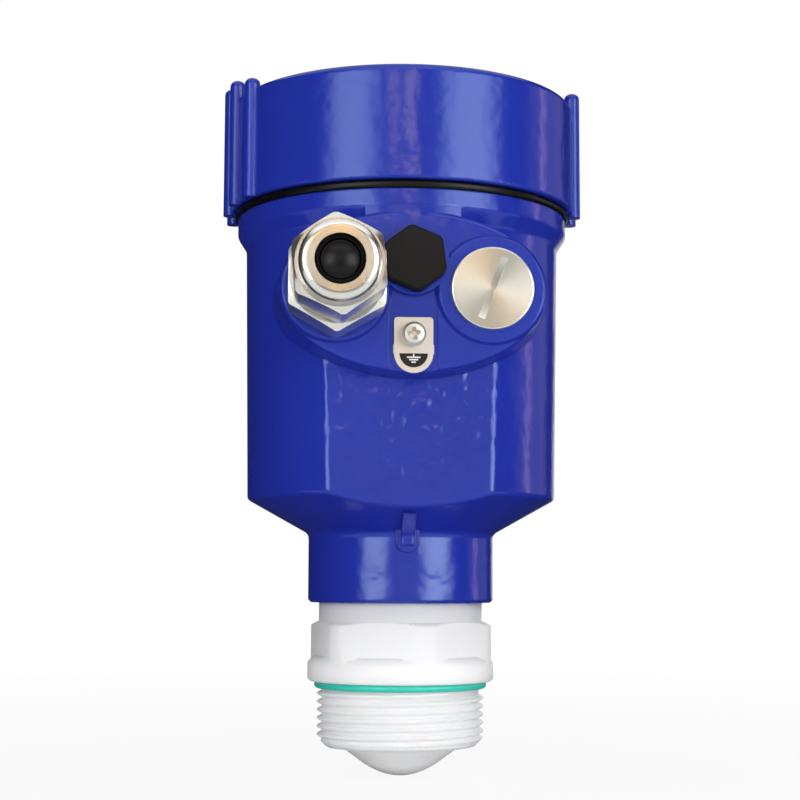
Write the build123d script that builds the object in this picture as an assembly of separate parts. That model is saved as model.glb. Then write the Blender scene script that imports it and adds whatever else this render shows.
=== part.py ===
from build123d import *
import os
from math import cos, radians, sin, sqrt, tan

# Compact radar level sensor: a die-cast aluminium housing with a screw-on lid, a cable gland, a blind plug,
# a pressure vent and an earth terminal on its front, and a moulded process fitting with a lens below.
# Millimetres. +Z is up, the front looks along -Y, and the origin lies on the axis at the sealing face
# under the process fitting's flange.

# Process fitting: thread, flange, hexagon and lens in one moulding
thread_r = 23.9
thread_end_z = -18.2
thread_start_z = -2.6
thread_chamfer = 2.3
lens_apex_z = -26.8
lens_vertex_radius = 15.5
lens_cone_share = 0.26
lens_end_direction = (0.58, 0, 0.81)
relief_depth = 1.2
flange_r = 26.7
flange_height = 5.3
flange_chamfer = 1.9
flange_under_chamfer = 0.7
fitting_hex_af = 47.5
fitting_hex_corner_r = 26.3
fitting_hex_top_z = 16.9
fitting_hex_top_chamfer = 1.2
fitting_hex_turn = 12.6
white_collar_r = 23.5
neck_bottom_z = 22.3
spigot_length = 13.7
spigot_wall = 2.5
lens_back_z = -13.5

# Green seal under the flange and black seal in the neck
process_seal_section = 2.0
neck_seal_section = 2.0
neck_seal_depth = 2.0
neck_groove_height = 2.6

# Gaps: between thread cylinders, and between parts that nearly touch
thread_gap = 0.3
seat_gap = 0.05
small_seal_r = 0.4
seal_groove_depth = 2 * small_seal_r + 2 * seat_gap

# Hexagons: how far inside its flats the turned end face stops, and the angle from a flat to a corner
hex_face_margin = 0.2
flat_to_corner = 30

# Housing, outside
neck_r = 26.7
neck_length = 19.5
neck_edge = 0.8
neck_fillet = 2.2
cone_height = 9.9
body_r_high = 45.65
body_taper = 1.15
body_height = 72.9
body_corner_round = 1.6
shoulder_height = 4.0
shoulder_round = 2.2
shoulder_fillet = 2.5
collar_overhang = 2.55
collar_height = 4.6
neck_top_z = neck_bottom_z + neck_length
cone_top_z = neck_top_z + cone_height
body_r_low = body_r_high - body_taper
shoulder_z = cone_top_z + body_height
shoulder_top_z = shoulder_z + shoulder_height
collar_r = body_r_high + collar_overhang
collar_top_z = shoulder_top_z + collar_height

# Housing, inside
wall_low = 3.9
wall_high = 4.25
floor_thickness = 4.6
inner_flat_depth = 6.0
inner_flat_rise = 1.4
neck_wall = 5.7
cavity_r_low = body_r_low - wall_low
cavity_r_high = body_r_high - wall_high
inner_flat_y = cavity_r_high - inner_flat_depth
inner_flat_top_z = shoulder_z + inner_flat_rise
neck_thread_r = neck_r - neck_wall
fitting_bore_r = neck_thread_r - neck_seal_section - spigot_wall

# Lid and its seal
lid_overhang = 2.2
lid_height = 31.7
lid_top_thickness = 4.0
lid_edge = 2.0
lid_rim_edge = 0.8
lid_turn = 9.6
lid_thread_depth = 2.7
lid_thread_length = 22.3
lid_thread_chamfer = 1.2
lid_step = 3.0
lid_step_height = 1.5
lid_seal_height = 2.3
lid_seal_proud = 0.8
rib_r = 2.2
rib_spacing = 13.0
ribs_above = (4.4, 5.1, 4.4, 2.2)
ribs_below = (1.3, 1.1, 0.4, 0.3)
lid_r = collar_r + lid_overhang
lid_thread_r = collar_r - lid_thread_depth
lid_thread_top_z = collar_top_z + lid_thread_length
lid_bottom_z = collar_top_z + lid_seal_height
lid_top_z = lid_bottom_z + lid_height

# Front face that carries the fittings, flush with the collar
platform_drop = 27.8
platform_half_width = 35.6
platform_half_height = 21.7
platform_depth = 19.0
platform_draft = 6.0
platform_edge = 1.3
tab_half_width = 13.3
tab_edge = 0.8
seat_height = 1.5
seat_root = 4.0
platform_y = collar_r
platform_z = collar_top_z - platform_drop
seat_y = platform_y + seat_height

# Label flat and rib on the neck
label_depth = 5.8
label_edge = 3.0
pad_half_width = 3.3
pad_length = 5.6
pad_proud = 1.1
pad_root = 4.0
fin_half_width = 1.9
fin_below_cone = 3.6
fin_height = 8.4
fin_foot_height = 2.6
fin_proud = 1.5
fin_edge = 0.7
label_y = body_r_low - label_depth

# Cable entries, left for the gland and right for the blind plug
entry_x = 20.85
entry_rise = 0.4
entry_thread_r = 10.0
entry_seat_r = 14.2
entry_seat_slope = 0.8
entry_seat_edge = 0.7
entry_thread_length = 11.0
entry_z = platform_z + entry_rise

# Gland
gland_hex_af = 25.0
gland_corner_cut = 0.25
gland_hex_length = 16.8
gland_collar_length = 1.0
gland_bore_r = 7.4
gland_mouth = 2.0
gland_seal_margin = 0.85
nut_thread_r = 9.0
nut_thread_length = 10.5
nut_hex_af = 22.6
nut_corner_cut = 0.3
nut_hex_turn = 5.0
nut_length = 22.5
nut_gap = 0.5
nut_chamfer = 1.6
nut_dome_r = 10.2
nut_dome_length = 4.6
nut_cone_length = 3.0
nut_hole_r = 6.3
nut_rim_width = 1.7
nut_wall = 1.4
cage_wall = 1.0
cage_start = 2.0
cage_clearance = 0.4
cage_rim_height = 1.2
cage_slots = 8
cage_slot_width = 0.8
seal_sunk = 0.5
dust_plug_r = 5.2
dust_plug_sunk = 1.1
dust_plug_dome = 1.3
dust_plug_dome_r = 4.3
gland_end = gland_hex_length + nut_thread_length
nut_start = gland_hex_length + nut_gap
nut_front = nut_start + nut_length
nut_dome_start = nut_front - nut_dome_length
cage_end = nut_dome_start - nut_cone_length - cage_clearance

# Blind plug
plug_head_r = 11.1
plug_head_height = 2.0
plug_edge = 0.5
plug_slot_width = 1.9
plug_slot_length = 17.5
plug_slot_depth = 1.4
plug_slot_turn = 21.0
plug_bore_r = 7.0
plug_web = 2.0

# Vent
vent_rise = 7.9
vent_thread_r = 6.0
vent_thread_length = 8.5
vent_hex_af = 15.8
vent_hex_turn = 7.6
vent_head_height = 4.6
vent_corner = 2.2
vent_edge = 0.5
vent_seat_r = 9.3
vent_bore_r = 3.4
vent_bore_end = 1.6
vent_slot_width = 1.2
vent_slot_height = 0.6
vent_slots = 4
membrane_r = 4.5
membrane_thickness = 0.4
membrane_depth = 1.2
vent_z = platform_z + vent_rise

# Earth terminal
earth_drop = 12.0
earth_groove_half_width = 6.5
earth_groove_depth = 0.8
earth_groove_rise = 13.5
earth_plate_width = 10.4
earth_plate_rise = 4.7
earth_plate_drop = 10.2
earth_plate_thickness = 1.3
earth_plate_corner = 0.9
earth_window_r = 3.85
earth_window_depth = 0.35
earth_thread_r = 2.0
earth_thread_length = 9.0
earth_screw_grip = 7.2
earth_head_r = 3.2
earth_head_height = 2.3
earth_screw_turn = 8.0
earth_washer_thickness = 0.8
earth_washer_split = 0.5
earth_hook_depth = 0.5
earth_hook_margin = 1.0
earth_nose = 0.5
earth_nose_length = 2.4
earth_z = platform_z - earth_drop
earth_floor_y = platform_y - earth_groove_depth

# Electronics cup in the housing
cup_clearance = 7.1
cup_wall = 2.0
cup_lift = 3.3
cup_height = 37.0
cover_thickness = 3.0
cover_edge = 0.8
post_inset = 6.5
post_r = 4.5
post_hole_spare = 0.5
column_r = 4.0
module_screw_r = 1.9
module_screw_hole_r = 2.3
module_screw_grip = 7.0
screw_head_r = 3.6
screw_head_height = 2.6
board_margin = 1.0
board_thickness = 1.6
board_hole_margin = 0.3
lower_board_height = 9.0
upper_board_height = 24.0
standoff_af = 5.5
post_angles = [90, 210, 330]
standoff_angles = [30, 150, 270]
cup_r = cavity_r_low - cup_clearance
cup_bottom_z = cone_top_z + cup_lift
cup_top_z = cup_bottom_z + cup_height
cover_top_z = cup_top_z + cover_thickness
post_circle_r = cup_r - post_inset
board_r = cup_r - cup_wall - board_margin
lower_board_z = cup_bottom_z + cup_wall + lower_board_height
upper_board_z = cup_bottom_z + cup_wall + upper_board_height
standoff_circle_r = board_r - standoff_af

# Larger components on the boards: across, back, radius, height, and across, back, sides, height, with
# across and back as shares of the standoff circle's radius. The coil lies beside a standoff.
coil_size = 9.0
coil_gap = 0.4
coil_reach = standoff_af / 2 + coil_gap + coil_size / 2
coil_across = cos(radians(standoff_angles[0])) - coil_reach / standoff_circle_r
lower_round_parts = [(-0.48, 0.48, 4.0, 10.5), (-0.48, 0.08, 4.0, 10.5)]
lower_square_parts = [(0.32, -0.4, 13, 11, 8), (coil_across, 0.24, coil_size, coil_size, 2),
                      (-0.16, -0.56, 6, 6, 3)]
upper_round_parts = [(-0.4, -0.4, 3.2, 7.5)]
upper_square_parts = [(0.08, -0.08, 12, 12, 1.8), (-0.56, 0.24, 7, 7, 4), (0.56, -0.36, 8, 5, 1.6)]

# Terminals on the cover
terminal_count = 4
terminal_pitch = 7.6
terminal_end_wall = 2.0
terminal_depth = 14.0
terminal_height = 12.0
terminal_chamfer = 2.0
terminal_y = -2.0
terminal_hole_height = 4.2
terminal_wire_hole = 3.8
terminal_cage_margin = 0.2
terminal_cage_setback = 2.5
terminal_cage_wall = 0.5
terminal_screw_r = 1.2
terminal_screw_head_r = 2.2
terminal_screw_head_height = 2.0
terminal_screw_sunk = 3.4
terminal_slot_width = 0.7
wire_hole_z = cover_top_z + terminal_hole_height
terminal_length = terminal_count * terminal_pitch + terminal_end_wall
terminal_xs = [(number - (terminal_count - 1) / 2) * terminal_pitch for number in range(terminal_count)]

# Earth screw inside the housing
inner_earth_inset = 3.2
inner_earth_post_r = 3.4
inner_earth_head_r = 3.2
inner_earth_lift = 3.0
inner_earth_screw_length = 8.0
inner_earth_washer_thickness = 0.8
inner_earth_circle_r = cavity_r_low - inner_earth_inset
inner_earth_top_z = cover_top_z + inner_earth_lift

# Radar unit in the process fitting
horn_seat = 0.1
horn_length = 17.0
horn_mouth_r = 11.5
horn_throat_r = 1.6
horn_flange_thickness = 3.0
radar_board_margin = 1.3
radar_board_thickness = 1.2
shield_inset = 4.5
shield_height = 3.4
shield_corner = 1.2
shield_sheet = 0.3
radar_screw_inset = 3.2
radar_screw_r = 1.0
radar_screw_grip = 3.5
radar_screw_hole_spare = 0.5
radar_screw_head_height = 1.4
radar_screw_hole_margin = 0.15
radar_screw_angles = [30, 150, 270]
clamp_ring_height = 5.0
clamp_ring_overlap = 1.0
clamp_notch_width = 2.4
clamp_notch_depth = 1.6
ribbon_width = 9.0
ribbon_thickness = 0.4
ribbon_gap = 0.8
ribbon_plug_height = 3.0
ribbon_plug_depth = 2.4
ribbon_plug_margin = 0.8
ribbon_slot_margin = 1.5
radar_board_r = fitting_bore_r - radar_board_margin
radar_screw_circle_r = radar_board_r - radar_screw_inset
shield_size = 2 * (radar_screw_circle_r - shield_inset)
ribbon_offset = shield_size / 2 + ribbon_gap + ribbon_plug_depth / 2
horn_bottom_z = lens_back_z + horn_seat
horn_top_z = horn_bottom_z + horn_length
radar_board_top_z = horn_top_z + radar_board_thickness


# Shapes used by several pieces

def turned(points):
    """Solid of revolution about Z from (radius, height) points."""
    outline = Polyline(*[(radius, 0, height) for radius, height in points], close=True)
    return revolve(make_face(outline), Axis.Z)


def disc(radius, bottom, top):
    return Pos(0, 0, bottom) * extrude(Circle(radius), top - bottom)


def tube(outer_r, inner_r, bottom, top):
    return disc(outer_r, bottom, top) - disc(inner_r, bottom, top)


def hexagon(across_flats, bottom, top, turn=0.0):
    """Hexagonal bar with its flats at the left and right before it is turned."""
    corner_r = across_flats / sqrt(3)
    outline = Rot(0, 0, flat_to_corner + turn) * RegularPolygon(corner_r, 6)
    return Pos(0, 0, bottom) * extrude(outline, top - bottom)


def chamfered_hexagon(across_flats, corner_r, bottom, top, chamfer_height, turn=0.0):
    """Hexagonal bar whose corners are turned down to a radius and chamfered at both ends."""
    face_r = across_flats / 2 - hex_face_margin
    blank = turned([(0, bottom), (face_r, bottom), (corner_r, bottom + chamfer_height),
                    (corner_r, top - chamfer_height), (face_r, top), (0, top)])
    return hexagon(across_flats, bottom, top, turn) & blank


def ring_seal(middle_r, section_r, height):
    return Pos(0, 0, height) * Torus(middle_r, section_r)


def circles_at(solid, radius, height):
    """Circular edges of this radius at this height."""
    found = [edge for edge in solid.edges().filter_by(GeomType.CIRCLE)
             if abs(edge.radius - radius) < 0.02 and abs(edge.arc_center.Z - height) < 0.02]
    return ShapeList(found)


def around(circle_r, angles):
    return [Pos(circle_r * cos(radians(angle)), circle_r * sin(radians(angle)), 0) for angle in angles]


def cross_recess(size, depth, top):
    """Cutter for a cross-shaped driver recess, narrower at its bottom."""
    arm = loft([Pos(0, 0, top) * Rectangle(size, size * 0.3),
                Pos(0, 0, top - depth) * Rectangle(size * 0.45, size * 0.2)])
    return arm + Rot(0, 0, 90) * arm


def pan_head_screw(shank_r, shank_length, head_r, head_height, seat):
    """Screw along Z whose head rests at the height named seat."""
    head_crown = head_height * 0.45
    tip = seat - shank_length
    top = seat + head_height
    screw = turned([(0, tip), (shank_r * 0.8, tip), (shank_r, tip + shank_r * 0.4), (shank_r, seat),
                    (head_r, seat), (head_r, top - head_crown), (head_r * 0.8, top - head_crown * 0.35),
                    (head_r * 0.45, top), (0, top)])
    return screw - cross_recess(head_r * 1.15, head_height * 0.6, seat + head_height)


# Places of the fittings on the front: in each, Z points out of the front and Y points up

fitting_flange_top_z = flange_height + flange_chamfer
relief_r = thread_r - relief_depth
cone_slope = cone_height / (body_r_low - neck_r)
entry_wall = seat_y - inner_flat_y
gland_axis_place = Plane(origin=(-entry_x, -seat_y, entry_z), x_dir=(1, 0, 0), z_dir=(0, -1, 0))
plug_axis_place = Plane(origin=(entry_x, -seat_y, entry_z), x_dir=(1, 0, 0), z_dir=(0, -1, 0))
vent_axis_place = Plane(origin=(0, -seat_y, vent_z), x_dir=(1, 0, 0), z_dir=(0, -1, 0))
earth_axis_place = Plane(origin=(0, -earth_floor_y, earth_z), x_dir=(1, 0, 0), z_dir=(0, -1, 0))


def placed(plane, solid):
    return plane.location * solid


def cone_z(radius):
    """Height of the housing's outer cone at a radius."""
    return neck_top_z + (radius - neck_r) * cone_slope


# Housing

def housing_shell():
    """Turned outer form of the casting, with the label flat cut on its front."""
    shell = turned([(0, neck_bottom_z), (neck_r - neck_edge, neck_bottom_z),
                    (neck_r, neck_bottom_z + neck_edge), (neck_r, neck_top_z), (body_r_low, cone_top_z),
                    (body_r_high, shoulder_z), (collar_r, shoulder_top_z), (collar_r, collar_top_z),
                    (0, collar_top_z)])
    label_cut = Pos(0, -label_y - collar_r / 2, (neck_top_z + platform_z) / 2) * Box(
        2 * collar_r, collar_r, platform_z - neck_top_z)
    shell = shell - label_cut
    half_label_height = (platform_z - cone_top_z) / 2
    label_edges = [edge for edge in shell.edges() if abs(edge.center().Y + label_y) < body_taper / 2]
    side_edges = [edge for edge in label_edges if edge.bounding_box().size.Z > half_label_height]
    shell = fillet(ShapeList(side_edges), label_edge)
    shell = fillet(circles_at(shell, body_r_low, cone_top_z), body_corner_round)
    shell = fillet(circles_at(shell, neck_r, neck_top_z), neck_fillet)
    shell = fillet(circles_at(shell, collar_r, shoulder_top_z), shoulder_round)
    shell = fillet(circles_at(shell, body_r_high, shoulder_z), shoulder_fillet)
    return shell


def fittings_platform():
    """Drafted oval that stands out of the round body and carries the fittings."""
    growth = platform_depth * tan(radians(platform_draft))
    face = Plane(origin=(0, -platform_y, platform_z), x_dir=(1, 0, 0), z_dir=(0, 1, 0))
    front = face * Ellipse(platform_half_width, platform_half_height)
    back = face.offset(platform_depth) * Ellipse(platform_half_width + growth, platform_half_height + growth)
    oval = loft([front, back])
    front_edge = oval.edges().sort_by(Axis.Y)[0]
    return fillet(front_edge, platform_edge)


def collar_tab():
    """The collar runs down over the middle of the oval."""
    block = Pos(0, -platform_y, (platform_z + collar_top_z) / 2) * Box(
        2 * tab_half_width, platform_y, collar_top_z - platform_z)
    tab = block & disc(collar_r, platform_z, shoulder_top_z)
    sides = tab.edges().filter_by(Axis.Z).sort_by(Axis.Y)
    return fillet(sides[:2], tab_edge)


def neck_rib():
    """Small pad on the neck with an upright rib that runs up the cone."""
    pad_bottom_z = neck_top_z - pad_length
    pad_top_z = neck_top_z + neck_fillet
    round_z = pad_bottom_z + pad_half_width
    outline = Pos(0, round_z) * Circle(pad_half_width)
    outline = outline + Pos(0, (round_z + pad_top_z) / 2) * Rectangle(2 * pad_half_width, pad_top_z - round_z)
    upright = Plane(origin=(0, pad_root - neck_r, 0), x_dir=(1, 0, 0), z_dir=(0, -1, 0))
    pad = extrude(upright * outline, pad_root + pad_proud)
    pad = pad & disc(neck_r + pad_proud, pad_bottom_z, pad_top_z)
    fin_bottom_z = neck_top_z - fin_below_cone
    fin_top_z = fin_bottom_z + fin_height
    fin_front = neck_r + pad_proud + fin_proud
    cone_r = neck_r + (fin_top_z - neck_top_z) / cone_slope
    side = Plane(origin=(-fin_half_width, 0, 0), x_dir=(0, 1, 0), z_dir=(1, 0, 0))
    profile = Polyline((pad_root - neck_r, fin_bottom_z), (-fin_front, fin_bottom_z),
                       (-fin_front, fin_bottom_z + fin_foot_height), (-cone_r - fin_proud, fin_top_z),
                       (pad_root - cone_r, fin_top_z), close=True)
    fin = extrude(side * make_face(profile), 2 * fin_half_width)
    fin = fillet(fin.edges().filter_by(Axis.Z), fin_edge)
    return pad + fin


def entry_seat():
    """Slightly sloped round seat round a cable entry, in the entry's own axes."""
    foot_r = entry_seat_r + entry_seat_slope
    seat = turned([(0, -seat_root), (foot_r, -seat_root), (foot_r, -seat_height), (entry_seat_r, 0), (0, 0)])
    return fillet(circles_at(seat, entry_seat_r, 0), entry_seat_edge)


def cavity():
    """Hollow of the housing: round, with a flat behind the cable entries, over a coned floor."""
    floor_low_z = cone_z(neck_thread_r) + floor_thickness
    floor_high_z = cone_z(cavity_r_low) + floor_thickness
    hollow = turned([(0, floor_low_z), (neck_thread_r, floor_low_z), (cavity_r_low, floor_high_z),
                     (cavity_r_high, lid_thread_top_z), (0, lid_thread_top_z)])
    keep_height = inner_flat_top_z - neck_bottom_z
    keep = Pos(0, -inner_flat_y - cavity_r_high, neck_bottom_z + keep_height / 2) * Box(
        2 * cavity_r_high, 2 * cavity_r_high, keep_height)
    return hollow - keep


def above_the_floor():
    """Room above the middle of the coned floor's wall, which the cast posts rise from."""
    middle = floor_thickness / 2
    return turned([(0, cone_z(0) + middle), (cavity_r_high, cone_z(cavity_r_high) + middle),
                   (cavity_r_high, lid_thread_top_z), (0, lid_thread_top_z)])


def cast_posts():
    """Posts for the cup's screws and the inner earth screw, joined to the wall by a web."""
    posts = []
    for place in around(post_circle_r, post_angles):
        posts.append(place * disc(post_r, neck_top_z, cup_bottom_z))
    posts.append(Pos(0, inner_earth_circle_r, 0) * disc(inner_earth_post_r, neck_top_z, inner_earth_top_z))
    web_depth = cavity_r_high - inner_earth_circle_r
    web = Pos(0, inner_earth_circle_r + web_depth / 2, (neck_top_z + inner_earth_top_z) / 2) * Box(
        inner_earth_post_r, web_depth, inner_earth_top_z - neck_top_z)
    posts.append(web)
    limit = above_the_floor()
    return [post & limit for post in posts]


def make_housing():
    groove_top_z = earth_z + earth_groove_rise
    groove_bottom_z = platform_z - platform_half_height - seat_root
    groove = Pos(0, -platform_y, (groove_bottom_z + groove_top_z) / 2) * Box(
        2 * earth_groove_half_width, 2 * earth_groove_depth, groove_top_z - groove_bottom_z)
    outer = housing_shell() + fittings_platform() - groove + collar_tab() + neck_rib()
    for place in (gland_axis_place, plug_axis_place):
        outer = outer + placed(place, entry_seat())
    outer = outer + placed(vent_axis_place, disc(vent_seat_r, -seat_root, 0))
    thread_neck = disc(lid_thread_r, shoulder_top_z, lid_thread_top_z)
    thread_neck = chamfer(thread_neck.edges().sort_by(Axis.Z)[-1], lid_thread_chamfer)
    body = outer + thread_neck - cavity()
    body = body - disc(neck_thread_r, neck_bottom_z, cone_top_z)
    for post in cast_posts():
        body = body + post
    post_hole_bottom_z = cup_bottom_z - module_screw_grip - post_hole_spare
    for place in around(post_circle_r, post_angles):
        body = body - place * disc(module_screw_r + thread_gap / 2, post_hole_bottom_z, cup_bottom_z)
    earth_hole_r = earth_thread_r + thread_gap / 2
    body = body - Pos(0, inner_earth_circle_r, 0) * disc(
        earth_hole_r, inner_earth_top_z - inner_earth_screw_length, inner_earth_top_z)
    for place in (gland_axis_place, plug_axis_place):
        body = body - placed(place, disc(entry_thread_r, -entry_wall, 0))
    body = body - placed(vent_axis_place, disc(vent_thread_r, -entry_wall, 0))
    body = body - placed(earth_axis_place, disc(earth_hole_r, -earth_thread_length, 0))
    hook_slot = Pos(0, earth_plate_rise - earth_plate_thickness / 2, 0) * Box(
        earth_plate_width - earth_hook_margin, earth_plate_thickness + earth_hook_depth, 3 * earth_hook_depth)
    return body - placed(earth_axis_place, hook_slot)


# Lid and seal

def make_lid():
    inside_top_z = lid_top_z - lid_top_thickness
    bore_r = lid_thread_r + thread_gap
    step_z = inside_top_z - lid_step_height
    cap = turned([(bore_r, lid_bottom_z), (lid_r, lid_bottom_z), (lid_r, lid_top_z), (0, lid_top_z),
                  (0, inside_top_z), (bore_r - lid_step, inside_top_z), (bore_r - lid_step, step_z),
                  (bore_r, step_z - lid_step)])
    cap = fillet(circles_at(cap, lid_r, lid_top_z), lid_edge)
    cap = fillet(circles_at(cap, lid_r, lid_bottom_z), lid_rim_edge)
    seal_space = disc(collar_r + lid_seal_proud + thread_gap, collar_top_z, lid_bottom_z)
    first = -(len(ribs_above) - 1) * rib_spacing / 2
    for side in (0, 180):
        for number, (above, below) in enumerate(zip(ribs_above, ribs_below)):
            bar = disc(rib_r, lid_bottom_z - below, lid_top_z + above)
            bar = fillet(bar.edges().sort_by(Axis.Z)[-1], rib_r * 0.8)
            place = Rot(0, 0, side + lid_turn + first + number * rib_spacing) * Pos(lid_r, 0, 0)
            cap = cap + (place * bar - seal_space)
    return cap


def make_lid_seal():
    """Black ring between the collar and the lid's rim, rounded on its outside."""
    outer_r = collar_r + lid_seal_proud
    ring = tube(outer_r, lid_thread_r + 2 * thread_gap, collar_top_z, lid_bottom_z)
    outer_edges = circles_at(ring, outer_r, collar_top_z) + circles_at(ring, outer_r, lid_bottom_z)
    return fillet(outer_edges, lid_seal_height * 0.4)


# Gland

def make_gland_body():
    corner_r = gland_hex_af / sqrt(3) - gland_corner_cut
    bar = chamfered_hexagon(gland_hex_af, corner_r, gland_collar_length, gland_hex_length,
                            gland_collar_length)
    collar = disc(gland_hex_af / 2 - hex_face_margin, 0, gland_collar_length)
    entry_thread = disc(entry_thread_r - thread_gap, -entry_thread_length, 0)
    nut_thread = disc(nut_thread_r, gland_hex_length, gland_end)
    body = bar + collar + entry_thread + nut_thread
    body = body - disc(gland_bore_r, -entry_thread_length, gland_end)
    seal_groove = tube(entry_thread_r + gland_seal_margin + small_seal_r + seat_gap,
                       entry_thread_r - thread_gap, 0, seal_groove_depth)
    mouth = turned([(0, gland_end - gland_mouth), (gland_bore_r, gland_end - gland_mouth),
                    (gland_bore_r + gland_mouth / 2, gland_end), (0, gland_end)])
    return placed(gland_axis_place, body - seal_groove - mouth)


def make_gland_body_seal():
    middle_r = entry_thread_r + gland_seal_margin
    return placed(gland_axis_place, ring_seal(middle_r, small_seal_r, small_seal_r + seat_gap))


def make_gland_nut():
    corner_r = nut_hex_af / sqrt(3) - nut_corner_cut
    cone_start = nut_dome_start - nut_cone_length
    hex_part = chamfered_hexagon(nut_hex_af, corner_r, nut_start, nut_dome_start, nut_chamfer, nut_hex_turn)
    dome = disc(nut_dome_r, cone_start, nut_front)
    dome = fillet(dome.edges().sort_by(Axis.Z)[-1], nut_dome_r - nut_hole_r - nut_rim_width)
    nut = hex_part + dome
    nut = nut - disc(nut_thread_r + thread_gap, nut_start, cone_start)
    inside = turned([(0, cone_start), (nut_thread_r + thread_gap, cone_start),
                     (nut_hole_r, nut_front - nut_wall), (nut_hole_r, nut_front), (0, nut_front)])
    return placed(gland_axis_place, nut - inside)


def make_gland_cage():
    """Plastic cage with slit fingers that the nut squeezes onto the rubber."""
    start = gland_hex_length + cage_start
    outer_r = gland_bore_r - seat_gap
    inner_r = outer_r - cage_wall
    rim_start = gland_end + seat_gap
    rim_end = rim_start + cage_rim_height
    rim = tube(nut_thread_r - hex_face_margin, inner_r, rim_start, rim_end)
    cage = tube(outer_r, inner_r, start, cage_end) + rim
    slit_start = rim_end + cage_slot_width
    slit = Pos(outer_r, 0, (slit_start + cage_end) / 2) * Box(
        3 * cage_wall, cage_slot_width, cage_end - slit_start)
    for number in range(cage_slots):
        cage = cage - Rot(0, 0, number * 360 / cage_slots) * slit
    return placed(gland_axis_place, cage)


def make_gland_seal():
    """Rubber sleeve that grips the cable."""
    start = gland_hex_length + cage_start
    outer_r = gland_bore_r - cage_wall - 2 * seat_gap
    front = nut_front - seal_sunk
    neck_outer_r = nut_hole_r - thread_gap
    lip = nut_wall / 2
    sleeve = turned([(dust_plug_r, start), (outer_r, start), (outer_r, cage_end - lip),
                     (neck_outer_r, cage_end), (neck_outer_r, front - lip),
                     (neck_outer_r - lip, front), (dust_plug_r, front)])
    return placed(gland_axis_place, sleeve)


def make_gland_dust_plug():
    """Rubber plug in the sleeve, where a cable goes in use, with a domed middle."""
    front = nut_front - dust_plug_sunk
    plug = disc(dust_plug_r - seat_gap, gland_hex_length + 2 * cage_start, front)
    plug = chamfer(plug.edges().sort_by(Axis.Z)[-1], plug_edge)
    ball_r = (dust_plug_dome_r ** 2 + dust_plug_dome ** 2) / (2 * dust_plug_dome)
    dome = Pos(0, 0, front + dust_plug_dome - ball_r) * Sphere(ball_r)
    dome = dome & disc(dust_plug_dome_r, front - plug_edge, front + dust_plug_dome)
    return placed(gland_axis_place, plug + dome)


# Blind plug

def make_blind_plug():
    head = disc(plug_head_r, 0, plug_head_height)
    head = fillet(head.edges().sort_by(Axis.Z)[-1], plug_edge)
    thread = disc(entry_thread_r - thread_gap, -entry_thread_length, 0)
    plug = head + thread - disc(plug_bore_r, -entry_thread_length, -plug_web)
    half_slot = plug_slot_length / 2
    saw_r = (half_slot ** 2 + plug_slot_depth ** 2) / (2 * plug_slot_depth)
    saw = Rot(0, 90, 0) * Pos(0, 0, -plug_slot_width / 2) * extrude(Circle(saw_r), plug_slot_width)
    saw = Pos(0, 0, plug_head_height - plug_slot_depth + saw_r) * saw
    plug = plug - Rot(0, 0, -plug_slot_turn) * saw
    seal_groove = tube(entry_thread_r + 2 * small_seal_r + 2 * seat_gap, entry_thread_r - thread_gap,
                       0, seal_groove_depth)
    return placed(plug_axis_place, plug - seal_groove)


def make_plug_seal():
    middle_r = entry_thread_r + small_seal_r + seat_gap
    return placed(plug_axis_place, ring_seal(middle_r, small_seal_r, small_seal_r + seat_gap))


# Vent

def make_vent_body():
    """Black moulded vent: hexagonal head, thread and an air way closed by a membrane."""
    head = hexagon(vent_hex_af, 0, vent_head_height, vent_hex_turn)
    head = fillet(head.edges().filter_by(Axis.Z), vent_corner)
    head = chamfer(head.faces().sort_by(Axis.Z)[-1].edges(), vent_edge)
    thread = disc(vent_thread_r - thread_gap, -vent_thread_length, 0)
    body = head + thread - disc(vent_bore_r, -vent_thread_length, vent_bore_end)
    pocket_bottom = -membrane_depth - membrane_thickness / 2
    body = body - disc(membrane_r + 2 * seat_gap, pocket_bottom, pocket_bottom + 2 * membrane_thickness)
    seal_groove = tube(vent_thread_r + 2 * small_seal_r + 3 * seat_gap, vent_thread_r - thread_gap,
                       0, seal_groove_depth)
    body = body - seal_groove
    slot_length = vent_hex_af / 2
    slot = Pos(vent_bore_r + slot_length / 2, 0, vent_bore_end - vent_slot_height / 2) * Box(
        slot_length, vent_slot_width, vent_slot_height)
    for number in range(vent_slots):
        body = body - Rot(0, 0, vent_hex_turn / 2 + number * 360 / vent_slots) * slot
    return placed(vent_axis_place, body)


def make_vent_seal():
    middle_r = vent_thread_r + small_seal_r + 2 * seat_gap
    return placed(vent_axis_place, ring_seal(middle_r, small_seal_r, small_seal_r + seat_gap))


def make_vent_membrane():
    return placed(vent_axis_place, disc(membrane_r, -membrane_depth, membrane_thickness - membrane_depth))


# Earth terminal

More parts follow.
